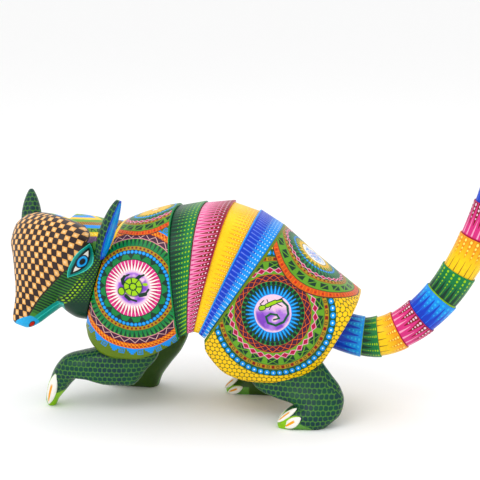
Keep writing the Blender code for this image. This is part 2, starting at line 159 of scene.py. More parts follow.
# Leg sections: hind x, z, fore x, z, middle y, half width.
LEGS = {
    "foreleg_left": (
        (-54.0, 60.0, -96.0, 60.0, -21.0, 10.0),
        (-54.5, 42.5, -99.0, 45.0, -21.5, 11.0),
        (-63.0, 30.0, -109.0, 42.0, -23.0, 11.8),
        (-73.5, 18.6, -116.0, 40.4, -24.0, 12.0),
        (-88.0, 18.4, -121.5, 38.0, -24.5, 11.8),
        (-101.5, 21.8, -126.0, 33.5, -24.5, 11.2),
        (-111.0, 23.0, -130.0, 27.0, -24.0, 10.4),
        (-116.0, 19.2, -133.5, 17.5, -23.0, 9.2),
        (-122.0, 12.0, -136.0, 9.5, -22.0, 7.4),
        (-128.0, 4.5, -136.8, 4.0, -21.0, 5.2),
        (-130.0, 0.0, -135.6, 0.0, -20.6, 3.6),
    ),
    "foreleg_right": (
        (-44.5, 61.0, -78.0, 60.0, 21.0, 10.0),
        (-41.0, 46.0, -80.0, 46.0, 22.0, 11.0),
        (-46.0, 32.5, -84.0, 32.0, 25.0, 11.8),
        (-55.0, 20.0, -87.0, 23.0, 28.5, 12.0),
        (-62.5, 9.0, -90.0, 17.0, 32.0, 11.6),
        (-68.0, -2.0, -93.0, 13.5, 34.0, 11.0),
        (-80.0, -2.0, -97.0, 10.5, 35.0, 10.4),
        (-90.0, -2.0, -101.0, 7.0, 35.5, 9.2),
        (-99.5, -2.0, -104.0, 2.6, 35.5, 6.0),
    ),
    "hindleg_left": (
        (48.0, 62.0, 4.0, 52.0, -22.0, 11.0),
        (59.0, 43.0, 8.0, 32.0, -23.5, 11.6),
        (67.5, 32.5, 16.0, 21.5, -27.0, 12.0),
        (74.0, 25.0, 27.0, 17.8, -31.0, 12.0),
        (76.8, 17.5, 39.0, 15.6, -34.5, 11.6),
        (75.2, 9.5, 43.5, 14.0, -37.0, 11.6),
        (69.5, 3.5, 42.5, 13.2, -38.5, 12.0),
        (61.0, -2.0, 40.5, 12.2, -39.0, 12.4),
        (51.0, -2.0, 37.6, 10.0, -39.0, 12.4),
        (42.0, -2.0, 34.8, 6.6, -39.0, 11.6),
        (35.5, -2.0, 31.8, 2.0, -39.0, 9.0),
    ),
    "hindleg_right": (
        (46.0, 62.0, 2.0, 54.0, 22.0, 11.0),
        (50.0, 42.0, -1.0, 36.0, 23.0, 11.6),
        (49.0, 31.0, -3.5, 25.0, 24.5, 12.0),
        (45.0, 21.0, -4.5, 18.0, 26.5, 12.0),
        (40.0, 12.5, -4.5, 14.0, 27.5, 11.4),
        (34.5, 5.0, -5.0, 12.2, 28.0, 10.8),
        (26.0, -2.0, -6.0, 10.8, 28.0, 10.4),
        (12.0, -2.0, -8.5, 9.0, 28.0, 10.0),
        (0.0, -2.0, -11.2, 5.8, 28.0, 9.0),
        (-9.0, -2.0, -14.0, 1.8, 28.0, 6.4),
    ),
}
# Claws of each leg: root (x, y, z), tip (x, y, z), way it faces (x, y, z), half width.
CLAWS = {
    "foreleg_left": (
        ((-126.4, -32.6, 26.4), (-134.2, -25.8, 2.2), (-0.56, -0.83, 0.0), 4.4),
        ((-131.4, -24.2, 22.0), (-136.2, -22.0, 3.0), (-1.0, -0.1, 0.1), 2.6),
        ((-128.6, -15.4, 25.0), (-134.6, -18.2, 2.8), (-0.7, 0.7, 0.0), 3.0),
    ),
    "foreleg_right": (
        ((-94.0, 26.6, 9.0), (-103.6, 31.0, 1.6), (-0.5, -0.4, 0.8), 2.6),
        ((-95.0, 35.5, 11.4), (-104.4, 35.5, 2.4), (-0.6, 0.0, 0.8), 2.6),
        ((-94.0, 44.4, 9.0), (-103.6, 40.0, 1.6), (-0.5, 0.4, 0.8), 2.6),
    ),
    "hindleg_left": (
        ((48.6, -51.6, 9.4), (37.4, -49.6, 1.8), (-0.1, -0.9, 0.42), 3.9),
        ((45.4, -46.4, 14.2), (32.4, -46.4, 4.0), (-0.4, -0.55, 0.74), 2.9),
        ((42.0, -31.6, 11.6), (31.8, -34.0, 2.0), (-0.4, 0.4, 0.8), 2.8),
    ),
    "hindleg_right": (
        ((-0.6, 17.8, 6.0), (-11.6, 20.0, 1.2), (-0.1, -0.8, 0.5), 3.2),
        ((-4.0, 23.0, 12.4), (-14.6, 23.6, 3.4), (-0.4, -0.45, 0.8), 3.2),
        ((-5.0, 35.4, 9.6), (-14.4, 32.6, 1.8), (-0.4, 0.4, 0.8), 2.6),
    ),
}

LENS = 107.14                     # focal length
VIEW_AZIMUTH = 8.0                # degrees from the left side toward the tail
VIEW_TILT = 12.5                  # degrees down
VIEW_MIDDLE = (0.0, 0.0, 120.0)   # what the camera looks at, in the tables' frame
VIEW_DISTANCE = 1.0               # metres
# Lamps, in metres: name, place, what it faces, size, watts.
LAMPS = (
    ("key", (-0.5, -0.9, 1.1), (0.0, 0.0, 0.08), 0.9, 5.0),
    ("top", (0.2, 0.3, 1.3), (0.0, 0.0, 0.05), 1.2, 3.0),
)
FLOOR_HALF = 9.0                  # metres


# ---------------------------------------------------------------- shader arithmetic
def shade(red, green, blue):
    """Linear colour of a paint given in display values."""
    parts = []
    for value in (red, green, blue):
        part = value / 255.0
        parts.append(part / 12.92 if part <= 0.04045 else ((part + 0.055) / 1.055) ** 2.4)
    return (*parts, 1.0)


class Num:
    """One number of a shader graph."""

    def __init__(self, sheet, socket):
        self.sheet = sheet
        self.socket = socket

    def math(self, kind, *others):
        return self.sheet.math(kind, self, *others)

    def __add__(self, other):
        return self.math("ADD", other)

    __radd__ = __add__

    def __sub__(self, other):
        return self.math("SUBTRACT", other)

    def __rsub__(self, other):
        return self.sheet.math("SUBTRACT", other, self)

    def __mul__(self, other):
        return self.math("MULTIPLY", other)

    __rmul__ = __mul__

    def __truediv__(self, other):
        return self.math("DIVIDE", other)

    def __abs__(self):
        return self.math("ABSOLUTE")

    def at_most(self, other):
        return self.math("MINIMUM", other)

    def at_least(self, other):
        return self.math("MAXIMUM", other)

    __and__ = at_most          # where both masks are
    __or__ = at_least          # where either mask is

    def above(self, edge, soft=SOFT):
        """Mask of what is above the edge: a ramp through 0 and 1, held by the mixing."""
        if isinstance(edge, Num):
            return (self - edge).math("MULTIPLY_ADD", 1.0 / soft, 0.5)
        return self.math("MULTIPLY_ADD", 1.0 / soft, 0.5 - edge / soft)

    def under(self, edge, soft=SOFT):
        """Mask of what is below the edge."""
        return self.above(edge, -soft)

    def between(self, low, high, soft=SOFT):
        """Mask of what is between two values."""
        return abs(self - 0.5 * (low + high)).under(0.5 * (high - low), soft)

    def cell(self, pitch, shift=0.0):
        """Signed place, in the same unit, inside equal cells."""
        turned = self.math("MULTIPLY_ADD", 1.0 / pitch, shift)
        return (turned.math("FRACT") - 0.5) * pitch

    def hypot(self, *others):
        """Length of the vector of this number and the others."""
        return sum((other * other for other in others), self * self).math("SQRT")

    def grade(self, low, high, at_low, at_high):
        """Value that runs evenly from at_low to at_high while this runs from low to high."""
        slope = (at_high - at_low) / (high - low)
        return self.math("MULTIPLY_ADD", slope, at_low - slope * low)

    def odd(self):
        """A half in every second whole number, 0 in the others."""
        return self.math("FLOOR").math("MULTIPLY", 0.5).math("FRACT")


class Sheet:
    """Shader graph of one painted surface: a colour and a height, painted in layers."""

    def __init__(self, name, ground, wobble=0.5):
        self.material = bpy.data.materials.new(name)
        self.material.use_nodes = True
        self.tree = self.material.node_tree
        self.tree.nodes.clear()
        self.colour = ground
        self.height = 0.0
        self.wobble = wobble

    def node(self, kind, inputs=(), **settings):
        """New node with its settings, its inputs linked or set."""
        made = self.tree.nodes.new(kind)
        for key, value in settings.items():
            setattr(made, key, value)
        for key, value in dict(inputs).items():
            if isinstance(value, Num):
                value = value.socket
            if isinstance(value, bpy.types.NodeSocket):
                self.tree.links.new(value, made.inputs[key])
            else:
                made.inputs[key].default_value = value
        return made

    def math(self, kind, *parts):
        return Num(self, self.node("ShaderNodeMath", enumerate(parts), operation=kind).outputs[0])

    def vector(self, kind, *parts):
        return self.node("ShaderNodeVectorMath", enumerate(parts), operation=kind).outputs[0]

    def coordinate(self, kind="Object"):
        return self.node("ShaderNodeTexCoord").outputs[kind]

    def noise(self, size, detail=2.0, stretch=None):
        """Noise with features of about size millimetres: its value and its colour."""
        place = self.coordinate()
        if stretch:
            place = self.vector("MULTIPLY", place, stretch)
        made = self.node("ShaderNodeTexNoise", {
            "Scale": 1.0 / (size * MM), "Detail": detail, "Vector": place})
        return Num(self, made.outputs["Fac"]), made.outputs["Color"]

    def split(self, socket):
        made = self.node("ShaderNodeSeparateXYZ", {0: socket})
        return [Num(self, out) for out in made.outputs]

    def place(self):
        """Place on the carving in its own millimetres, with a hand's wobble."""
        half = 0.5 * self.wobble
        zero = (MIDDLE[0] - half, MIDDLE[1] - half, -half)
        scaled = self.vector("MULTIPLY_ADD", self.coordinate(), (1.0 / MM,) * 3, zero)
        _, shake = self.noise(3.0, 1.0)
        return self.split(self.vector("MULTIPLY_ADD", shake, (self.wobble,) * 3, scaled))

    def marks(self):
        """The three painting guides stored on the mesh, and a hand's wobble."""
        guide = self.node("ShaderNodeAttribute", attribute_name="guide")
        _, shake = self.noise(3.0, 1.0)
        shakes = [(part - 0.5) * self.wobble for part in self.split(shake)]
        return self.split(guide.outputs["Vector"]), shakes

    def blend(self, mask, first, second, kind="RGBA"):
        """Colour or number between two."""
        slot = 6 if kind == "RGBA" else 2
        made = self.node("ShaderNodeMix", {0: mask, slot: first, slot + 1: second}, data_type=kind)
        return made.outputs[2 if kind == "RGBA" else 0]

    def over(self, mask, colour, lift=None):
        """Paint a colour where the mask is 1, at a height."""
        self.colour = self.blend(mask, self.colour, colour)
        if lift is not None:
            self.height = self.blend(mask, self.height, lift, "FLOAT")

    def finish(self, rough=0.36, relief=0.00022, tone=0.30, coat=0.07, value=0.94):
        """Brush texture, satin varnish and relief over the painting."""
        mottle, _ = self.noise(1.6, 3.0)
        worn, _ = self.noise(14.0, 2.0)
        brush, _ = self.noise(0.9, 2.0, stretch=(1.0, 1.0, 0.35))
        level = brush * 0.35
        if not isinstance(self.height, float):
            level = level + Num(self, self.height)
        vary = self.node("ShaderNodeHueSaturation", {
            "Color": self.colour, "Saturation": 1.12,
            "Value": (mottle + worn) * tone + (value - tone)})
        bump = self.node("ShaderNodeBump", {
            "Strength": 0.7, "Distance": relief, "Height": level})
        shader = self.node("ShaderNodeBsdfPrincipled", {
            "Base Color": vary.outputs[0], "Normal": bump.outputs[0],
            "Roughness": brush * 0.16 + worn * 0.12 + (rough - 0.14),
            "Specular IOR Level": 0.22, "Coat Weight": coat, "Coat Roughness": 0.22})
        self.node("ShaderNodeOutputMaterial", {"Surface": shader.outputs[0]})
        return self.material


# ---------------------------------------------------------------- paints
INK = shade(14, 26, 24)
DEEP = shade(4, 52, 34)
FOREST = shade(6, 84, 50)
GREEN = shade(8, 128, 62)
MOSS = shade(78, 118, 44)
OLIVE = shade(98, 124, 34)
LEAF = shade(106, 160, 62)
LIME = shade(158, 208, 28)
OCHRE = shade(176, 142, 36)
MAROON = shade(132, 36, 34)
CRIMSON = shade(176, 22, 66)
PINK = shade(220, 88, 142)
ROSE = shade(252, 176, 206)
PALE = shade(244, 208, 228)
WHITE = shade(248, 246, 238)
PLUM = shade(66, 24, 56)
VIOLET = shade(140, 92, 196)
LAVENDER = shade(176, 130, 216)
ORANGE = shade(248, 100, 8)
RUST = shade(206, 92, 30)
AMBER = shade(246, 166, 24)
YELLOW = shade(254, 208, 8)
STRAW = shade(255, 238, 130)
AZURE = shade(18, 146, 240)
SKY = shade(96, 196, 250)
ROYAL = shade(0, 56, 196)
TEAL = shade(20, 158, 146)
AQUA = shade(92, 214, 200)
TAN = shade(242, 186, 124)
CREAM = shade(255, 222, 176)
BROWN = shade(50, 36, 34)
SCALE = shade(4, 52, 56)
GROUT = shade(74, 122, 60)
RED = shade(206, 40, 30)


# ---------------------------------------------------------------- painted rings
class Disc:
    """Polar place about the middle of a medallion."""

    def __init__(self, sheet, reach, across, up):
        self.sheet = sheet
        self.r = reach
        self.turn = sheet.math("ARCTAN2", up, across) * (0.5 / math.pi) + 0.5

    def side(self, count, shift=0.0):
        """Sideways place inside one of count equal sectors, in the unit of r."""
        return self.turn.cell(1.0 / count, shift) * self.r * (2.0 * math.pi)

    def fill(self, outer, colour, lift=0.0):
        self.sheet.over(self.r.under(outer), colour, lift)

    def line(self, at, half, colour, lift=0.5):
        self.sheet.over(abs(self.r - at).under(half), colour, lift)

    def beads(self, at, count, size, colour, lift=1.0):
        away = self.side(count).hypot(self.r - at)
        self.sheet.over(away.under(size), colour, lift)

    def pearls(self, at, count, *sizes):
        """Azure beads with smaller sky and white ones on them, as many as there are sizes."""
        for size, colour, lift in zip(sizes, (AZURE, SKY, WHITE), (1.0, 1.3, 1.5)):
            self.beads(at, count, size, colour, lift)

    def squares(self, at, count, size, colour, shift=0.0):
        away = abs(self.side(count, shift)).at_least(abs(self.r - at))
        self.sheet.over(away.under(size), colour, 0.6)

    def diamonds(self, at, count, length, tall, colour, lift):
        away = abs(self.side(count)) * (1.0 / length) + abs(self.r - at) * (1.0 / tall)
        self.sheet.over(away.under(1.0, 0.18), colour, lift)

    def lozenges(self, at, count, rim, core):
        """Crimson diamonds with a rose rim."""
        self.diamonds(at, count, *rim, ROSE, 0.7)
        self.diamonds(at, count, *core, CRIMSON, 0.9)

    def spikes(self, low, high, count, wide_low, wide_high, colour, shift=0.0, lift=0.5):
        """Wedges whose half width changes from one radius to the other."""
        half = self.r.grade(low, high, wide_low, wide_high)
        mask = abs(self.side(count, shift)).under(half) & self.r.between(low, high)
        self.sheet.over(mask, colour, lift)

    def pairs(self, at, count, length, tall, colour, slash):
        """Groups of two triangles parted by a slanting stroke."""
        side = self.side(count)
        out = self.r - at
        box = (abs(side) * (1.0 / length)).at_least(abs(out) * (1.0 / tall))
        split = abs(side * (tall / length) + out).above(0.2 * tall)
        self.sheet.over(box.under(1.0, 0.14) & split, colour, 0.4)
        if slash:
            gap = abs(side * (-tall / length) + out - 0.1 * tall).above(0.12 * tall)
            self.sheet.over(box.under(1.0, 0.14) & (1.0 - gap), slash, 0.6)

    def zigzag(self, at, swing, count, half, colour):
        """Zigzag line about a radius; a negative swing turns its corners over."""
        wave = abs(self.turn.cell(1.0 / count)) * (4.0 * count * swing)
        path = self.r - wave + (swing - at)
        self.sheet.over(abs(path).under(half), colour, 0.8)


def strokes(sheet, across, up, paths, colour, lift=0.8):
    """Straight brush strokes.  A path is a start, then the end and half width of each."""
    for path in paths:
        for (x0, y0, *_), (x1, y1, half) in zip(path, path[1:]):
            dx = x1 - x0
            dy = y1 - y0
            square = dx * dx + dy * dy
            u = across - x0
            v = up - y0
            along = (u * (dx / square) + v * (dy / square)).at_least(0.0).at_most(1.0)
            sheet.over((u - along * dx).hypot(v - along * dy).under(half), colour, lift)


def blob(sheet, across, up, x, y, wide, tall, colour, lift=1.0):
    """Painted oval."""
    away = ((across - x) * (1.0 / wide)).hypot((up - y) * (1.0 / tall))
    sheet.over(away.under(1.0, 0.2), colour, lift)


def laid_out(sheet, place):
    """Two of the three directions, the ones that lie best in the surface."""
    x, y, z = place
    nx, ny, nz = [abs(part) for part in sheet.split(sheet.coordinate("Normal"))]
    ends = nx.math("GREATER_THAN", ny)
    flat = nz.math("GREATER_THAN", nx.at_least(ny))
    run = (y - x).math("MULTIPLY_ADD", ends * (1.0 - flat), x)
    rise = (y - z).math("MULTIPLY_ADD", flat, z)
    return run, rise


def studs(sheet, u, v, pitch, size, colour, lift=1.0, mask=None):
    """Dots in offset rows."""
    tall = ROW * pitch
    away = (u + (v * (1.0 / tall)).odd() * pitch).cell(pitch).hypot(v.cell(tall))
    spot = away.under(size)
    sheet.over(spot if mask is None else spot & mask, colour, lift)


def scales(sheet, u, v, pitch, colour):
    """Rounded square scales in offset rows."""
    shifted = v + (u * (1.0 / pitch)).odd() * pitch
    corners = [abs(part.cell(pitch)).math("POWER", 3.0) for part in (u, shifted)]
    away = (corners[0] + corners[1]).math("POWER", 1.0 / 3.0)
    sheet.over(away.under(0.435 * pitch, 0.3), colour, 1.0)


def side_disc(sheet, place, middle, depth, wide=1.0):
    """Medallion on the flank, the same on both sides."""
    x, y, z = place
    across = (x - middle[0]) * (1.0 / (UNIT * wide))
    up = (z - middle[1]) * (1.0 / UNIT)
    up = up.at_most(0.0) * -SAG + up
    reach = across.hypot(up, (abs(y) - depth) * (1.0 / UNIT))
    return Disc(sheet, reach, across, up), across, up


def top_disc(sheet, place, middle):
    """Medallion on the ridge of the back, from its middle and the way back along the ridge."""
    x, y, z = place
    dx = x - middle[0]
    dz = z - middle[1]
    return Disc(sheet, dx.hypot(y, dz), dx * middle[2] + dz * middle[3], y)


def crown_rings(disc, scale, core):
    """Rings of a ridge medallion, at a scale, round a core of a given radius."""
    def s(value):
        return value * scale

    disc.fill(s(41.0), BROWN, 0.1)
    disc.fill(s(40.4), RUST, 0.6)
    disc.spikes(s(36.9), s(40.1), 92, 0.32, 0.32, ORANGE, lift=0.8)
    disc.squares(s(38.6), 46, 0.7, RED)
    disc.fill(s(36.6), BROWN, 0.1)
    disc.fill(s(36.2), LEAF, 0.5)
    disc.pairs(s(32.8), 22, 3.0, 2.1, DEEP, None)
    disc.fill(s(29.4), MAROON, 0.1)
    disc.fill(s(29.0), OCHRE, 0.4)
    disc.squares(s(27.7), 54, 0.72, MAROON)
    disc.fill(s(26.6), FOREST, 0.1)
    disc.line(s(24.9), 0.42, ROSE)
    disc.lozenges(s(24.9), 28, (2.5, 1.8), (1.8, 1.1))
    disc.fill(s(23.2), GREEN, 0.3)
    disc.spikes(s(19.2), s(23.0), 44, 0.2, 1.15, DEEP)
    disc.fill(s(19.0), DEEP, 0.2)
    disc.pearls(s(17.9), 46, 0.98, 0.4)
    disc.fill(s(16.8), OLIVE, 0.2)
    disc.spikes(0.7 * core, s(16.6), 26, 1.5, 0.15, YELLOW)
    disc.spikes(core, s(13.6), 26, 0.2, 0.6, AMBER, 0.5)
    disc.fill(core + 0.5, FOREST, 0.2)
    disc.fill(core, WHITE, 0.6)


# ---------------------------------------------------------------- paintings
def paint_shoulder():
    """Shoulder block: a turtle medallion on each flank, another on the ridge."""
    sheet = Sheet("shoulder paint", OLIVE)
    place = sheet.place()
    x, _, z = place
    disc, across, up = side_disc(sheet, place, (-67.4, 94.4), 44.3, 1.035)
    # stepped fret on olive green
    fret = disc.side(22)
    tall = disc.r - 61.4
    steps = abs(fret + 3.6).math("MULTIPLY", 0.62).math("FLOOR")
    stair = steps.math("MULTIPLY_ADD", -1.7, 6.2)
    sheet.over(tall.under(stair) & tall.above(0.0) & disc.r.under(67.6), AZURE, 0.7)
    box = abs(fret - 4.4).at_least(abs(tall - 3.4))
    sheet.over(abs(box - 2.5).under(0.42), AZURE, 0.7)
    sheet.over(abs(box - 0.9).under(0.34), AZURE, 0.7)
    disc.line(61.5, 0.55, AZURE)
    # basket weave
    disc.fill(60.9, ORANGE, 0.5)
    woven = disc.r.between(55.2, 60.6)
    for slant in (1.25, -1.25):
        strand = disc.side(96) + disc.r * slant
        sheet.over(abs(strand.cell(5.1)).under(0.42) & woven, MAROON, 0.0)
        sheet.over(abs(strand.cell(5.1, 0.5)).under(0.5) & woven, AMBER, 0.7)
    disc.fill(55.2, PLUM, 0.1)
    disc.zigzag(52.4, 2.1, 32, 0.42, shade(236, 190, 180))
    disc.fill(49.9, shade(224, 150, 160), 0.5)
    disc.fill(49.1, GREEN, 0.3)
    disc.spikes(42.2, 48.6, 66, 0.2, 1.15, DEEP)
    disc.spikes(45.6, 49.0, 66, 0.05, 0.5, LEAF, 0.5)
    disc.fill(41.9, FOREST, 0.1)
    disc.fill(41.4, OCHRE, 0.4)
    disc.squares(39.7, 60, 1.02, MAROON)
    disc.fill(37.8, DEEP, 0.1)
    disc.pearls(35.7, 56, 1.75, 0.7)
    disc.fill(33.6, DEEP, 0.1)
    disc.spikes(28.4, 33.4, 17, 5.2, 2.6, GREEN)
    disc.fill(28.3, DEEP, 0.1)
    disc.fill(27.6, PINK, 0.4)
    disc.spikes(16.0, 27.6, 44, 1.15, 0.25, WHITE, lift=0.8)
    disc.spikes(19.0, 24.0, 44, 0.1, 0.45, CRIMSON, 0.5, 0.3)
    disc.fill(17.4, PALE, 0.6)
    cloud, _ = sheet.noise(7.0, 1.0)
    sheet.over(disc.r.under(15.4, 2.0) & cloud.above(0.46, 0.08), LAVENDER, 0.6)
    sheet.over(disc.r.under(13.6, 2.0) & cloud.above(0.55, 0.08), VIOLET, 0.6)
    # turtle
    strokes(sheet, across, up, (
        ((-9.6, 3.6), (-10.4, 7.6, 1.8), (-8.4, 10.6, 1.5), (-4.2, 12.6, 0.9)),
        ((3.4, 8.6), (6.6, 11.4, 1.8), (10.6, 13.0, 1.0)),
        ((-7.0, -8.0), (-3.6, -10.8, 1.7), (3.4, -12.6, 1.0)),
        ((7.0, -7.0), (12.4, -5.6, 1.8), (15.4, -1.2, 1.0))), DEEP)
    blob(sheet, across, up, -11.4, -4.0, 3.9, 4.1, DEEP)
    blob(sheet, across, up, -11.4, -4.0, 2.9, 3.2, LIME, 1.2)
    blob(sheet, across, up, 12.0, 3.6, 2.6, 1.7, LIME, 1.2)
    blob(sheet, across, up, 0.0, 1.0, 9.8, 9.6, DEEP)
    shell = Disc(sheet, across.hypot(up - 1.0), across, up - 1.0)
    shell.fill(8.6, LIME, 1.2)
    shell.spikes(2.6, 8.8, 7, 0.45, 0.55, DEEP, lift=0.9)
    shell.line(3.5, 0.55, DEEP, 0.9)
    # ridge medallion
    crown = top_disc(sheet, place, (-60.0, 140.0, 0.99, 0.14))
    crown_rings(crown, 0.84, 2.4)
    # yellow edge against the neck
    back = (x + 105.0) * 0.956 - (z - 62.0) * 0.293
    sheet.over(z.above(118.0, 0.5) & back.under(2.4), YELLOW, 0.5)
    # rear lip
    rear = (x + 38.2) * 0.997 + (z - 56.0) * 0.079
    sheet.over(rear.above(-0.5), GREEN, 0.2)
    return sheet.finish()


def paint_rump():
    """Rump block: a lizard medallion on each flank, another on the ridge."""
    sheet = Sheet("rump paint", MOSS)
    place = sheet.place()
    x, _, z = place
    disc, across, up = side_disc(sheet, place, (28.6, 80.5), 45.2)
    run, rise = laid_out(sheet, place)
    studs(sheet, run, rise, 3.4, 1.58, AMBER)
    studs(sheet, run, rise, 3.4, 1.36, YELLOW, 1.3)
    disc.fill(63.0, FOREST, 0.2)
    disc.pearls(59.6, 58, 2.6, 1.3, 0.7)
    disc.fill(55.9, FOREST, 0.1)
    disc.fill(55.4, OCHRE, 0.4)
    disc.squares(53.3, 34, 1.5, MAROON)
    disc.squares(53.3, 34, 1.4, BROWN, 0.5)
    disc.squares(53.3, 34, 0.8, OCHRE, 0.5)
    disc.fill(51.2, FOREST, 0.1)
    disc.fill(50.7, LEAF, 0.4)
    disc.pairs(47.0, 18, 5.6, 3.2, DEEP, LEAF)
    disc.line(42.0, 0.5, ROSE)
    disc.lozenges(42.0, 32, (4.4, 3.1), (3.5, 2.3))
    disc.fill(39.4, LEAF, 0.4)
    disc.fill(38.2, RUST, 0.5)
    disc.fill(37.8, PLUM, 0.1)
    disc.zigzag(34.7, 2.8, 14, 0.36, RUST)
    disc.zigzag(34.7, -2.8, 14, 0.36, ORANGE)
    disc.fill(31.7, RUST, 0.5)
    disc.fill(31.3, GREEN, 0.2)
    disc.beads(29.4, 38, 1.85, INK, 0.7)
    disc.fill(27.6, DEEP, 0.1)
    disc.fill(23.4, shade(4, 74, 120), 0.1)
    disc.spikes(18.0, 26.8, 40, 1.25, 0.5, AZURE, lift=0.6)
    disc.spikes(18.0, 24.6, 40, 0.3, 0.3, SKY, lift=0.9)
    disc.fill(19.0, AZURE, 0.2)
    disc.fill(18.3, PALE, 0.6)
    cloud, _ = sheet.noise(8.0, 1.0)
    lower = up.under(3.0, 6.0) & disc.r.under(16.6, 2.0)
    sheet.over(lower & cloud.above(0.40, 0.12), LAVENDER, 0.6)
    sheet.over(lower & cloud.above(0.54, 0.10), VIOLET, 0.6)
    # lizard
    strokes(sheet, across, up, (
        ((-9.0, 6.0), (-12.6, 8.4, 0.5), (-9.0, 12.0, 0.5)), ((-4.0, 8.0), (-6.0, 12.8, 0.5)),
        ((-1.0, 7.6), (-3.4, 3.4, 0.5)), ((4.0, 9.0), (8.8, 6.4, 0.5)),
        ((5.0, 12.4), (10.0, 15.0, 0.5))), INK)
    strokes(sheet, across, up, (
        ((-11.6, 4.4), (-9.4, 5.0, 2.8)), ((-6.0, 7.0), (2.0, 10.6, 2.4), (8.4, 12.0, 1.6))), DEEP)
    strokes(sheet, across, up, ((
        (8.4, 12.0), (14.0, 7.0, 1.1), (15.2, -1.0, 1.1), (10.6, -8.4, 1.1), (3.0, -11.6, 1.1),
        (-4.6, -9.4, 1.1), (-6.6, -4.0, 1.1), (-2.4, -1.0, 1.0), (4.0, -1.8, 1.0),
        (6.4, -5.0, 0.9), (1.0, -6.4, 0.8)),), FOREST)
    strokes(sheet, across, up, (
        ((-11.6, 4.4), (-9.4, 5.0, 1.9)), ((-6.0, 7.0), (2.0, 10.6, 1.5), (8.0, 11.8, 0.7))),
            LIME, 1.2)
    # ridge medallion
    crown = top_disc(sheet, place, (52.0, 111.0, 0.77, -0.64))
    crown_rings(crown, 1.0, 10.5)
    cloud, _ = sheet.noise(1.5, 1.0)
    sheet.over(crown.r.under(8.0, 3.0) & cloud.above(0.54, 0.06), AZURE, 0.8)
    sheet.over(crown.r.under(5.0, 3.0) & cloud.under(0.42, 0.06), LAVENDER, 0.8)
    # front lip
    front = (x + 19.5) * 0.83 - (z - 56.5) * 0.559
    sheet.over(front.under(1.3), OLIVE, 0.2)
    return sheet.finish()


class Strip:
    """Rows of spikes and dots across a band, by the place t from 0 to 1 across it."""

    def __init__(self, sheet, t, wide):
        self.sheet = sheet
        self.t = t
        self.wide = wide       # millimetres from 0 to 1

    def spikes(self, place, start, end, half_start, half_end, paint, lift=0.5):
        half = self.t.grade(start, end, half_start, half_end)
        mask = abs(place).under(half) & self.t.between(start, end, 0.04)
        self.sheet.over(mask, paint, lift)

    def dots(self, place, start, end, count, small, large, paint):
        near = (self.t - start).cell((end - start) / count) * self.wide
        size = self.t.grade(start, end, small, large)
        mask = place.hypot(near).under(size) & self.t.between(start, end, 0.02)
        self.sheet.over(mask, paint, 1.2)


def paint_band(colour):
    """Spikes and rows of growing dots across a band of the back."""
    sheet = Sheet("band " + colour, WHITE, 0.4)
    (t, length, wide), (shake, other, _) = sheet.marks()
    strip = Strip(sheet, t, wide)
    mid = (length + shake).cell(BAND_PITCH)
    off = (length + shake).cell(BAND_PITCH, 0.5)
    front_edge = (t * wide + other).under(0.9)
    if colour == "green":
        sheet.colour = sheet.blend(t, FOREST, GREEN)
        strip.spikes(mid, 0.0, 0.7, 1.5, 0.1, DEEP)
        strip.spikes(off, 0.5, 1.0, 0.1, 1.0, shade(6, 104, 60))
        strip.dots(off, 0.24, 0.97, 5, 0.25, 0.72, LIME)
    if colour == "pink":
        sheet.colour = sheet.blend(t, ROSE, PINK)
        strip.spikes(mid, 0.08, 0.6, 0.6, 0.2, PINK)
        strip.spikes(off, 0.22, 1.0, 0.1, 1.75, MAROON)
        strip.dots(off, 0.5, 0.96, 3, 0.3, 0.62, PALE)
        sheet.over(front_edge, CRIMSON, 0.2)
    if colour == "yellow":
        sheet.colour = YELLOW
        strip.spikes(off, 0.35, 1.0, 0.1, 1.5, AMBER, 0.2)
        strip.dots(off, 0.5, 0.98, 4, 0.3, 0.62, STRAW)
    if colour == "blue":
        sheet.colour = sheet.blend(t.above(0.5, 0.35), ROYAL, AZURE)
        strip.spikes(off, 0.3, 0.8, 1.3, 0.1, ROYAL)
        strip.spikes(mid, 0.12, 0.6, 0.55, 0.1, shade(120, 140, 230))
        strip.dots(off, 0.5, 0.97, 4, 0.3, 0.6, shade(196, 232, 252))
        sheet.over(front_edge, AZURE, 0.6)
    return sheet.finish()


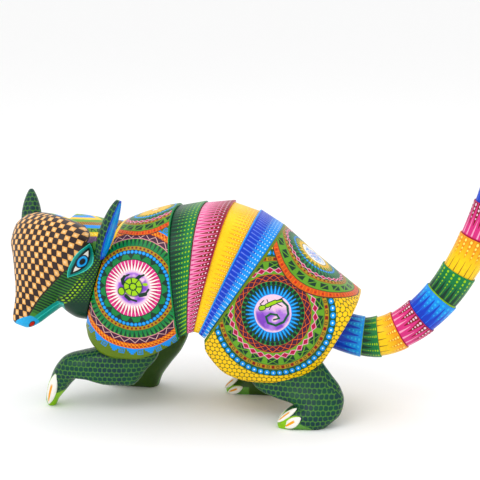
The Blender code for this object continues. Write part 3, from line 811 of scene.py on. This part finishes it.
def paint_ring(colour):
    """Spikes from the body side of a tail ring and rows of dots toward its flare."""
    sheet = Sheet("ring " + colour, WHITE, 0.4)
    (t, up, side), (shake, other, _) = sheet.marks()
    turn = sheet.math("ARCTAN2", side, up) * (0.5 / math.pi) + 0.5
    girth = RING_SPIKES * RING_PITCH
    mid = turn.cell(1.0 / RING_SPIKES) * girth + shake
    off = turn.cell(1.0 / RING_SPIKES, 0.5) * girth + shake
    t = t + other * 0.04
    strip = Strip(sheet, t, RING_LENGTH)
    body_edge = t.under(0.05, 0.03)
    if colour == "blue":
        sheet.colour = sheet.blend(t.above(0.45, 0.5), ROYAL, AZURE)
        strip.spikes(off, 0.0, 0.85, 1.8, 0.3, ROYAL)
        strip.spikes(mid, 0.04, 0.5, 0.35, 0.1, shade(90, 130, 240))
        strip.dots(mid, 0.36, 0.97, 4, 0.4, 0.95, SKY)
    if colour == "green":
        sheet.colour = sheet.blend(t, FOREST, GREEN)
        strip.spikes(mid, 0.04, 0.62, 1.5, 0.1, DEEP)
        strip.spikes(off, 0.1, 0.5, 0.3, 0.2, LEAF)
        strip.dots(off, 0.34, 0.97, 5, 0.35, 0.95, LIME)
        sheet.over(body_edge, LIME)
    if colour == "yellow":
        sheet.colour = sheet.blend(t.above(0.6, 0.5), YELLOW, AMBER)
        strip.spikes(mid, 0.02, 0.4, 0.4, 0.1, shade(150, 96, 20))
        strip.spikes(off, 0.45, 1.0, 0.1, 1.7, shade(236, 140, 20), 0.2)
        strip.dots(off, 0.5, 0.98, 4, 0.4, 0.95, STRAW)
    if colour == "pink":
        sheet.colour = PINK
        strip.spikes(mid, 0.06, 0.55, 0.7, 0.1, ROSE)
        strip.spikes(off, 0.35, 1.0, 0.2, 2.1, MAROON)
        strip.dots(off, 0.5, 0.98, 4, 0.4, 0.95, PALE)
        sheet.over(body_edge, CRIMSON)
    return sheet.finish()


def paint_leg():
    """Dark scales on the outer faces, plain green inside and at the toes."""
    sheet = Sheet("leg paint", GROUT, 1.1)
    (outer, _, _), _ = sheet.marks()
    place = sheet.place()
    x, y, z = place
    tint, _ = sheet.noise(9.0, 1.0)
    colour = sheet.blend(tint.above(0.5, 0.3), SCALE, shade(5, 70, 50))
    run, rise = laid_out(sheet, place)
    scales(sheet, rise, run, 3.35, colour)
    sheet.over(outer.between(-0.43, -0.36, 0.04), LEAF, 0.6)
    sheet.over(outer.under(-0.42, 0.04), shade(52, 80, 30), 0.2)
    fore = x.under(-109.0, 1.0) & (z - (x + 109.0) * 0.30).under(17.0, 1.0)
    hind = (x * 0.45 + z).under(26.5, 1.0) & x.between(30.0, 56.0, 1.0) & y.under(0.0)
    far = x.between(-16.0, 4.0, 1.0) & z.under(6.0, 1.0)
    toes = fore | hind | far
    sheet.over(toes, shade(104, 156, 76), 0.3)
    tips = x.under(-131.5, 2.0) | x.between(30.0, 41.0, 1.5) | x.under(-6.0, 1.0)
    sheet.over(toes & tips, shade(140, 196, 44), 0.3)
    return sheet.finish(rough=0.34)


def paint_claw():
    """White nail with an orange streak and a lime rim."""
    sheet = Sheet("claw paint", LIME, 0.2)
    (t, side, _), _ = sheet.marks()
    sheet.over(abs(side - 0.16).under(0.86, 0.08), WHITE, 0.8)
    sheet.over(abs(side - 0.1).under(0.22, 0.08) & t.between(0.34, 0.9, 0.1), AMBER, 1.0)
    return sheet.finish(rough=0.3, tone=0.12)


def paint_ear():
    """Scales behind, an azure hollow in front with dark blue rims."""
    sheet = Sheet("ear paint", GROUT, 0.5)
    (t, cos, sin), (shake, other, _) = sheet.marks()
    round_back = sheet.math("ARCTAN2", cos, sin) * 7.0 + other
    scales(sheet, t * 43.0 + shake, round_back, 3.6, SCALE)
    hollow = sin.above(0.06, 0.05)
    sheet.over(hollow, ROYAL, 0.3)
    sheet.over(hollow & abs(cos).under(0.84, 0.08) & t.between(0.05, 0.97, 0.03), AZURE, 0.5)
    sheet.over(abs(cos).under(0.20, 0.2) & sin.above(0.2) & t.between(0.16, 0.9, 0.1), SKY, 0.7)
    return sheet.finish()


def head_axes():
    """Origin, across (left), along (down the face) and above (brow) axes."""
    yaw = math.radians(HEAD_YAW)
    pitch = math.radians(HEAD_PITCH)
    across = Vector((math.sin(yaw), -math.cos(yaw), 0.0))
    along = Vector((-math.cos(yaw) * math.cos(pitch), -math.sin(yaw) * math.cos(pitch),
                    -math.sin(pitch)))
    above = Vector((-math.cos(yaw) * math.sin(pitch), -math.sin(yaw) * math.sin(pitch),
                    math.cos(pitch)))
    return Vector(HEAD_ORIGIN), across, along, above


def paint_head():
    """Checkered mask, almond eyes, striped cheeks and dotted throat."""
    sheet = Sheet("head paint", DEEP)
    over = sheet.over
    x, y, z = sheet.place()
    origin, *axes = head_axes()
    dx, dy, dz = x - origin.x, y - origin.y, z - origin.z
    across, a, n = [dx * axis.x + dy * axis.y + dz * axis.z for axis in axes]
    out = abs(across)
    # throat and neck: small dots on dark green; lower down they fade out, and the plain dark green
    # left under the throat is painted shade
    # dots only above about 84 mm and forward of -90 mm; below, the dark ground stands in for the
    # shade under the throat
    dots_above_painted_shade = z.above(84.0, 10.0) & x.under(-90.0, 6.0)
    studs(sheet, a, n, 1.9, 0.42, shade(96, 156, 44), 0.9, dots_above_painted_shade)
    # nape rows behind the crown
    row = z - (abs(y) - 27.0) * 0.22
    run = dx + dy
    nape = a.under(2.0, 1.0) & row.above(121.0, 0.4)

    def rows(*bands):
        for low, paint, lift in bands:
            over(nape & row.above(low), paint, lift)

    over(nape, shade(84, 62, 96), 0.3)
    over(nape & abs(run.cell(1.5)).under(0.28), shade(150, 120, 160), 0.6)
    rows((125.4, YELLOW, 0.5))
    over(nape & run.cell(3.2).hypot(row - 127.0).under(0.9), STRAW, 0.9)
    rows((128.4, LEAF, 0.3))
    arc = run.cell(6.0).hypot(row - 128.4)
    over(nape & abs(arc - 2.0).under(0.42) & row.above(128.4), DEEP, 0.6)
    rows((131.3, AZURE, 0.5), (133.4, OCHRE, 0.4))
    over(nape & row.above(133.8) & abs(run.cell(2.4)).under(0.55), MAROON, 0.6)
    rows((135.6, LEAF, 0.3), (137.4, YELLOW, 0.5), (138.8, AZURE, 0.5), (140.2, LEAF, 0.3))
    over(nape & run.cell(4.0).hypot(row - 141.6).under(0.8), YELLOW, 0.9)
    # jaw: stripes across the cheek, then larger dots
    cheek = a.above(20.0, 2.0) & n.above(-12.0, 1.0) & n.under(6.0)
    over(cheek, shade(62, 118, 52), 0.3)
    over(cheek & abs(a.cell(1.9)).under(0.52) & a.under(57.0, 2.0), DEEP, 0.0)
    jaw = n.between(-15.2, -11.0, 1.0) & a.between(24.0, 52.0, 2.0)
    over(jaw, DEEP, 0.1)
    studs(sheet, a, n, 2.3, 0.62, LIME, 1.1, jaw)
    over(a.above(56.0, 3.0), shade(78, 140, 64), 0.3)
    # lower jaw
    edge = a * 0.62 - 39.0
    lower = n.under(edge) & a.above(43.0) & x.under(-119.0)
    over(lower, TEAL, 0.4)
    over(lower & abs(n - edge + 4.0).under(0.5), AQUA, 0.8)
    # checkered mask: columns that lean with the flanks and narrow toward the nose
    ridge = (24.5 - a * 0.27).at_most(22.5)
    flank = (across * 0.16).at_least(-1.0).at_most(1.0)
    lean = (ridge - n).at_least(0.0) * 0.55 * flank + (across - a * 0.45) + 60.0
    column = lean / (a * -0.016 + 4.25)
    line = (a + across * 0.12) * (1.0 / 3.9)
    light = (column.math("FLOOR") + line.math("FLOOR")).odd().above(0.25, 0.01)
    hem = ((a - 2.0) * 0.55).at_least(-5.0).at_most(1.6)
    over(n.above(hem) & a.above(-11.8), BROWN, 0.1)
    tiled = n.above(hem + 1.3) & a.above(-10.6) & light
    tile = abs(column.math("FRACT") - 0.5).at_least(abs(line.math("FRACT") - 0.5))
    over(tiled & tile.under(0.44, 0.08), TAN, 0.7)
    over(tiled & tile.under(0.16, 0.2), CREAM, 0.8)
    # lips and nose notch
    lips = (a + out * 0.95 - n.at_least(0.0) * 0.25).above(66.3) & x.under(-125.0)
    over(lips, shade(90, 182, 234), 0.5)
    notch = (a - 64.4).hypot(n + 4.4)
    over(notch.under(2.5), BROWN, 0.2)
    over(notch.under(1.8), RED, 0.3)
    # eyes: almond rings, then the round iris
    u = a - 12.9
    v = n + 3.9
    almond = abs(v) + u * u * (7.0 / 156.0)
    eye = a.between(-4.0, 31.0) & out.above(20.0)
    for size, paint, lift in ((8.2, AQUA, 0.7), (7.5, shade(12, 140, 132), 0.8),
                              (5.6, shade(6, 84, 84), 0.6), (5.0, INK, 0.4), (3.3, WHITE, 0.9)):
        over(almond.under(size) & eye, paint, lift)
    iris = u.hypot(v)
    over(iris.under(4.9) & almond.under(4.6) & eye, INK, 0.7)
    over(iris.under(4.1) & almond.under(4.4) & eye, AZURE, 0.9)
    over(abs(iris - 3.3).under(0.4) & almond.under(4.2) & eye, SKY, 0.9)
    over(iris.under(2.3) & eye, INK, 1.0)
    return sheet.finish()


def paint_wood():
    """Bare light wood with its grain."""
    sheet = Sheet("bare wood", shade(214, 178, 130), 0.0)
    grain, _ = sheet.noise(1.1, 4.0, stretch=(0.12, 1.0, 1.0))
    sheet.over(grain.above(0.5, 0.3), shade(176, 132, 86), 0.6)
    return sheet.finish(rough=0.6, coat=0.0)


# ---------------------------------------------------------------- geometry
def centred(point):
    """Row-frame place, in metres, of a point of the tables."""
    return (Vector(point) - Vector((MIDDLE[0], MIDDLE[1], 0.0))) * MM


def dense(rows, per):
    """Rows with smooth rows between them, never beyond their neighbours."""
    count = len(rows)
    columns = list(zip(*rows))
    slopes = []
    for column in columns:
        steps = [column[i + 1] - column[i] for i in range(count - 1)]
        slope = [steps[0]]
        for before, after in zip(steps, steps[1:]):
            slope.append(2.0 * before * after / (before + after) if before * after > 0 else 0.0)
        slope.append(steps[-1])
        slopes.append(slope)
    made = []
    for i in range(count - 1):
        for k in range(per):
            t = k / per
            h = (2 * t ** 3 - 3 * t * t + 1, t ** 3 - 2 * t * t + t,
                 3 * t * t - 2 * t ** 3, t ** 3 - t * t)
            made.append(tuple(h[0] * c[i] + h[1] * s[i] + h[2] * c[i + 1] + h[3] * s[i + 1]
                              for c, s in zip(columns, slopes)))
    made.append(tuple(rows[-1]))
    return made


def around(count):
    """Cosine and sine of evenly spaced directions."""
    turns = [2.0 * math.pi * i / count for i in range(count)]
    return [(math.cos(turn), math.sin(turn)) for turn in turns]


def squared(value, bend):
    """Cosine or sine of a rounded square of that bend."""
    return math.copysign(abs(value) ** (2.0 / bend), value)


def arch(station, grow, hollow):
    """Arched body section and its arc lengths from the ridge."""
    foot_x, foot_z, crown_x, crown_z, half, rim = station
    base = Vector((foot_x, 0.0, foot_z))
    rise = Vector((crown_x, 0.0, crown_z)) - base
    tall = rise.length + grow
    rise.normalize()
    wide = half + grow
    edge = rim + 0.6 * grow
    waist = 0.45 * tall
    side = []
    for i in range(DOME_POINTS):
        turn = 0.5 * math.pi * i / DOME_POINTS
        y = wide * math.sin(turn) ** (2.0 / BEND)
        side.append((y, waist + (tall - waist) * math.cos(turn) ** (2.0 / BEND)))
    for i in range(FLANK_POINTS + 1):
        drop = i / FLANK_POINTS
        side.append((wide - (wide - edge) * drop ** 2, waist * (1.0 - drop)))
    for t in (0.04, 0.1, 0.3, 0.65, 1.0):
        side.append((edge * (1.0 - t), hollow * math.sin(0.5 * math.pi * t)))
    lengths = [0.0]
    for (y0, s0), (y1, s1) in zip(side, side[1:]):
        lengths.append(lengths[-1] + math.hypot(y1 - y0, s1 - s0))
    points = [base + rise * s + Vector((0.0, y, 0.0)) for y, s in side]
    points += [base + rise * s - Vector((0.0, y, 0.0)) for y, s in reversed(side[1:-1])]
    return points, lengths + [-v for v in reversed(lengths[1:-1])]


def oval(station, bend=2.3):
    """Rounded section between two points of the side view, across the walk."""
    low_x, low_z, high_x, high_z, middle, half = station
    a = Vector((low_x, middle, low_z))
    b = Vector((high_x, middle, high_z))
    centre = (a + b) / 2.0
    reach = (b - a).length / 2.0
    up = (b - a).normalized()
    return [centre + up * (squared(c, bend) * reach) + Vector((0.0, squared(s, bend) * half, 0.0))
            for c, s in around(72)]


def face_ring(row):
    """Section of the head across the face."""
    along, half, over, below = row
    origin, u, v, w = head_axes()
    return [origin + u * (squared(s, 2.4) * half) + v * along
            + w * (squared(c, 2.4) * (over if c > 0.0 else below)) for c, s in around(96)]


def shrunk(ring, amount):
    """Ring drawn toward its middle by about that many millimetres."""
    middle = sum(ring, Vector()) / len(ring)
    return [p + (middle - p).normalized() * min(amount, (middle - p).length) for p in ring]


def toward(ring, other, amount):
    """Ring moved toward the next one by about that many millimetres."""
    return [p + (q - p).normalized() * min(amount, (q - p).length) for p, q in zip(ring, other)]


def add_loft(bm, rings, guides=None, edge=0.0):
    """Closed skin over rings of points, with edges at both ends eased by that much."""
    layer = bm.verts.layers.float_vector.get("guide") or bm.verts.layers.float_vector.new("guide")
    rings = list(rings)
    guides = list(guides) if guides else [[Vector()] * len(r) for r in rings]
    if edge:
        rings = [shrunk(rings[0], 4 * edge), shrunk(rings[0], edge)] + [
            toward(rings[0], rings[1], edge)] + rings[1:-1] + [
            toward(rings[-1], rings[-2], edge),
            shrunk(rings[-1], edge), shrunk(rings[-1], 4 * edge)]
        guides = [guides[0]] * 3 + guides[1:-1] + [guides[-1]] * 3
    grid = []
    for ring, marks in zip(rings, guides):
        row = []
        for point, mark in zip(ring, marks):
            vert = bm.verts.new(centred(point))
            vert[layer] = mark
            row.append(vert)
        grid.append(row)
    count = len(grid[0])
    for low, high in zip(grid, grid[1:]):
        for i in range(count):
            j = (i + 1) % count
            bm.faces.new((low[i], low[j], high[j], high[i]))
    bm.faces.new(grid[0][::-1])
    bm.faces.new(grid[-1])


def placed(name, data):
    """Object of a mesh, lamp or camera, in the scene."""
    obj = bpy.data.objects.new(name, data)
    bpy.context.scene.collection.objects.link(obj)
    return obj


def make_object(name, bm, material):
    """Mesh object at the row-frame origin, smooth but for its flat ends."""
    bmesh.ops.recalc_face_normals(bm, faces=bm.faces)
    for face in bm.faces:
        face.smooth = len(face.verts) < 5
    mesh = bpy.data.meshes.new(name)
    bm.to_mesh(mesh)
    bm.free()
    mesh.materials.append(material)
    return placed(name, mesh)


def loft(name, rings, material, guides=None, edge=0.0):
    """Object with one closed skin."""
    bm = bmesh.new()
    add_loft(bm, rings, guides, edge)
    return make_object(name, bm, material)


def apply_modifiers(obj):
    """Bake the modifiers of an object into its mesh."""
    bpy.context.view_layer.update()
    shown = obj.evaluated_get(bpy.context.evaluated_depsgraph_get())
    mesh = bpy.data.meshes.new_from_object(shown)
    obj.modifiers.clear()
    obj.data = mesh


def cut(obj, rings):
    """Cut a closed shape out of an object."""
    tool = loft("tool", rings, obj.data.materials[0])
    step = obj.modifiers.new("cut", "BOOLEAN")
    step.operation = "DIFFERENCE"
    step.solver = "EXACT"
    step.object = tool
    apply_modifiers(obj)
    bpy.data.objects.remove(tool, do_unlink=True)


def round_at(point, degrees, radius, shift=0.0):
    """Circle across the tail axis."""
    angle = math.radians(degrees)
    axis = Vector((math.cos(angle), 0.0, math.sin(angle)))
    up = Vector((-math.sin(angle), 0.0, math.cos(angle)))
    centre = Vector((point[0], 0.0, point[1])) + axis * shift
    return [centre + up * c * radius + Vector((0.0, s * radius, 0.0)) for c, s in around(64)]


def circle_marks(t):
    """Guides of a tail ring: place along it and direction around it."""
    return [Vector((t, c, s)) for c, s in around(64)]


def rod_rings(start, end, radius):
    """Two circles at the ends of a round rod."""
    turn = (end - start).to_track_quat("Z", "Y")
    return [[place + turn @ Vector((c, s, 0.0)) * radius for c, s in around(32)]
            for place in (start, end)]


def build_block(name, stations, material):
    """Shoulder or rump block with softly rounded rims, the rump with its tail's seat."""
    rings = [arch(row, 0.0, 6.0)[0] for row in dense(stations, 6)]
    obj = loft(name, rings, material, edge=0.3)
    if name == "rump_shield":
        x, z, degrees, radius = TAIL[0]
        recess = (radius + GAP, -CUP, 30.0)
        hole = (PEG_R + GAP, -PEG_IN - 2.0 * GAP, 4.0)
        for size, low, high in (recess, hole):
            cut(obj, [round_at((x, z), degrees, size, shift) for shift in (low, high)])
    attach(obj, "body")
    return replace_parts(obj, name)


def build_band(node, index, front, rear, material):
    """One band of the back, with its guides: place across it, arc length, width."""
    first = list(SEAMS[index])
    last = list(SEAMS[index + 1])
    for column in (0, 2):
        first[column] -= EASE
        last[column] += EASE
    start, _ = arch(first, 0.0, 3.0)
    end, _ = arch(last, 0.0, 3.0)
    widths = [(b - a).length for a, b in zip(start, end)]
    rings = []
    guides = []
    for k in range(13):
        t = k / 12
        mixed = [a + (b - a) * t for a, b in zip(first, last)]
        ring, lengths = arch(mixed, front + (rear - front) * t, 2.5)
        rings.append(ring)
        guides.append([Vector((t, s, w)) for s, w in zip(lengths, widths)])
    obj = loft(node, rings, material, guides, edge=0.2)
    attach(obj, "body")
    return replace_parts(obj, node)


def build_head(material):
    """Skull and neck carved from one block."""
    bm = bmesh.new()
    add_loft(bm, [face_ring(row) for row in dense(FACE, 5)])
    add_loft(bm, [oval(row, bend=3.2) for row in dense(NECK, 4)], edge=0.6)
    obj = make_object("head", bm, material)
    step = obj.modifiers.new("skin", "REMESH")
    step.mode = "VOXEL"
    step.voxel_size = 0.0008
    step.use_smooth_shade = True
    ease = obj.modifiers.new("ease", "SMOOTH")
    ease.factor = 0.5
    ease.iterations = 10
    apply_modifiers(obj)
    if not obj.data.materials:
        obj.data.materials.append(material)
    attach(obj, "body")
    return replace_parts(obj, "head")


def build_ear(name, material):
    """Leaf-shaped ear, hollowed on its outer face, with its peg."""
    side, seat, lean, length = EARS[name]
    origin, u, v, w = head_axes()
    rise = (u * lean[0] + v * lean[1] + w * lean[2]).normalized()
    turn = math.radians(EAR_OPENS)
    opens = u * side * math.cos(turn) - w * math.sin(turn)
    opens = (opens - rise * opens.dot(rise)).normalized()
    broad = rise.cross(opens)
    foot = origin + u * seat[0] + v * seat[1] + w * seat[2]
    rings = []
    guides = []
    for k in range(41):
        t = k / 40
        wide = EAR_HALF * max(math.sin(math.pi * (0.04 + 0.93 * t) ** 0.85), 0.05) ** 0.65
        height = t * (length + EAR_BELOW) - EAR_BELOW
        bulge = EAR_BULGE * (wide / EAR_HALF) ** 0.6
        ring = []
        for c, s in around(48):
            out = s * bulge
            if out > 0.0:
                out = 0.3 * out - 0.22 * bulge * s ** 2
            ring.append(foot + rise * height + broad * c * wide + opens * out)
        rings.append(ring)
        guides.append([Vector((t, c, s)) for c, s in around(48)])
    bm = bmesh.new()
    add_loft(bm, rings, guides)
    start = foot + rise * 4.0 - opens * 0.8
    add_loft(bm, rod_rings(start, start - u * side * EAR_PEG, EAR_PEG_R), edge=0.2)
    obj = make_object(name, bm, material)
    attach(obj, name)
    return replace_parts(obj, name)


def build_leg(name, skin, nail):
    """One leg and its claws; its guide runs from -1 on the inner side to 1 on the outer."""
    outward = 1.0 if name.endswith("right") else -1.0
    rings = []
    guides = []
    for row in dense(LEGS[name], 6):
        ring = oval(row)
        for point in ring:
            point.z = max(point.z, 0.0)
        rings.append(ring)
        guides.append([Vector((outward * (p.y - row[4]) / row[5], 0.0, 0.0)) for p in ring])
    obj = loft(name, rings, skin, guides, edge=0.3)
    obj.data.materials.append(nail)
    bm = bmesh.new()
    bm.from_mesh(obj.data)
    old = set(bm.faces)
    for root, tip, facing, half in CLAWS[name]:
        add_claw(bm, Vector(root), Vector(tip), Vector(facing), half)
    for face in bm.faces:
        if face not in old:
            face.material_index = 1
            face.smooth = True
    bm.to_mesh(obj.data)
    bm.free()
    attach(obj, "body")
    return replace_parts(obj, name)


def add_claw(bm, root, tip, facing, half):
    """Almond nail lying on a toe; its guides are the place along and across it."""
    way = (tip - root).normalized()
    out = (facing - way * facing.dot(way)).normalized()
    across = out.cross(way)
    rings = []
    guides = []
    for k in range(13):
        t = k / 12
        wide = half * math.sin(math.pi * min(max(t, 0.02), 0.98)) ** 0.6
        place = root.lerp(tip, t)
        rings.append([place + across * c * wide + out * s * wide * 0.45 for c, s in around(16)])
        guides.append([Vector((t, c, 0.0)) for c, _ in around(16)])
    add_loft(bm, rings, guides)


def build_ring(index, material):
    """Flared tail ring, seated in the cup of the ring before it."""
    x0, z0, a0, r0 = TAIL[index - 1]
    x1, z1, a1, r1 = TAIL[index]
    start = r0 - RING_STEP if index > 1 else r0
    rings = [round_at((x0, z0), a0, start, -CUP + GAP)]
    guides = [circle_marks(0.0)]
    for k in range(13):
        t = k / 12
        angle = a0 + (a1 - a0) * t
        bow = math.radians(a1 - a0) * 0.5 * t * (1.0 - t)
        x = x0 + (x1 - x0) * t + bow * (z1 - z0)
        z = z0 + (z1 - z0) * t - bow * (x1 - x0)
        rings.append(round_at((x, z), angle, start + (r1 - start) * t))
        guides.append(circle_marks(t))
    inner = r1 - RING_STEP + GAP
    rings.append(round_at((x1, z1), a1, r1 - 0.25, 0.25))
    rings.append(round_at((x1, z1), a1, inner, 0.2))
    rings.append(round_at((x1, z1), a1, inner, -CUP))
    guides += [circle_marks(1.0)] * 3
    name = "tail_ring_%02d" % index
    obj = loft(name, rings, material, guides)
    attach(obj, "tail")
    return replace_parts(obj, name)


def build_tip(material):
    """Rounded end of the tail."""
    x, z, angle, radius = TAIL[-1]
    start = radius - RING_STEP
    rings = [round_at((x, z), angle, start, -CUP + GAP)]
    guides = [circle_marks(0.0)]
    for k in range(17):
        t = k / 16
        size = start * max((1.0 - min(t, 0.995) ** 2.6) ** 0.7, 0.06)
        rings.append(round_at((x, z), angle, size, TIP_LENGTH * t))
        guides.append(circle_marks(t))
    obj = loft("tail_tip", rings, material, guides)
    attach(obj, "tail")
    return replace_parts(obj, "tail_tip")


# ---------------------------------------------------------------- set
def studio():
    """Pale flat floor, an even white surround, two soft lights and the camera."""
    sheet = Sheet("studio floor", shade(250, 250, 250), 0.0)
    bm = bmesh.new()
    for x, y in ((-1.0, -1.0), (1.0, -1.0), (1.0, 1.0), (-1.0, 1.0)):
        bm.verts.new((x * FLOOR_HALF, y * FLOOR_HALF, 0.0))
    bm.faces.new(bm.verts)
    mesh = bpy.data.meshes.new("floor")
    bm.to_mesh(mesh)
    bm.free()
    mesh.materials.append(
        sheet.finish(rough=0.8, relief=0.00002, tone=0.01, coat=0.0, value=1.0))
    placed("floor", mesh)
    world = bpy.data.worlds.new("studio")
    world.use_nodes = True
    back = world.node_tree.nodes["Background"]
    back.inputs["Color"].default_value = (1.0, 1.0, 1.0, 1.0)
    back.inputs["Strength"].default_value = 1.0
    bpy.context.scene.world = world
    for name, place, target, size, watts in LAMPS:
        data = bpy.data.lights.new(name, "AREA")
        data.size = size
        data.energy = watts
        lamp = placed(name, data)
        lamp.location = place
        way = Vector(target) - Vector(place)
        lamp.rotation_euler = way.to_track_quat("-Z", "Y").to_euler()
    data = bpy.data.cameras.new("camera")
    data.lens = LENS
    camera = placed("camera", data)
    azimuth = math.radians(VIEW_AZIMUTH)
    tilt = math.radians(VIEW_TILT)
    forward = Vector((-math.sin(azimuth) * math.cos(tilt), math.cos(azimuth) * math.cos(tilt),
                      -math.sin(tilt)))
    camera.location = centred(VIEW_MIDDLE) - forward * VIEW_DISTANCE
    camera.rotation_euler = forward.to_track_quat("-Z", "Y").to_euler()
    bpy.context.scene.camera = camera


def build():
    """Every visible piece, its paint and the body it rides on."""
    build_block("shoulder_shield", SHOULDER, paint_shoulder())
    build_block("rump_shield", RUMP, paint_rump())
    for node, colour, index, front, rear in BANDS:
        build_band(node, index, front, rear, paint_band(colour))
    build_head(paint_head())
    ear = paint_ear()
    for name in EARS:
        build_ear(name, ear)
    skin = paint_leg()
    nail = paint_claw()
    for name in LEGS:
        build_leg(name, skin, nail)
    rings = {colour: paint_ring(colour) for colour in RING_ORDER}
    for index in range(1, len(TAIL)):
        colour = RING_ORDER[(index - 1) % len(RING_ORDER)]
        build_ring(index, rings[colour])
    build_tip(rings["blue"])
    wood = paint_wood()
    for name in ("spine_dowel", "tail_peg"):
        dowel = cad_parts[name]
        dowel.data.materials.clear()
        dowel.data.materials.append(wood)


build()
studio()
bpy.context.scene.view_settings.view_transform = "Standard"
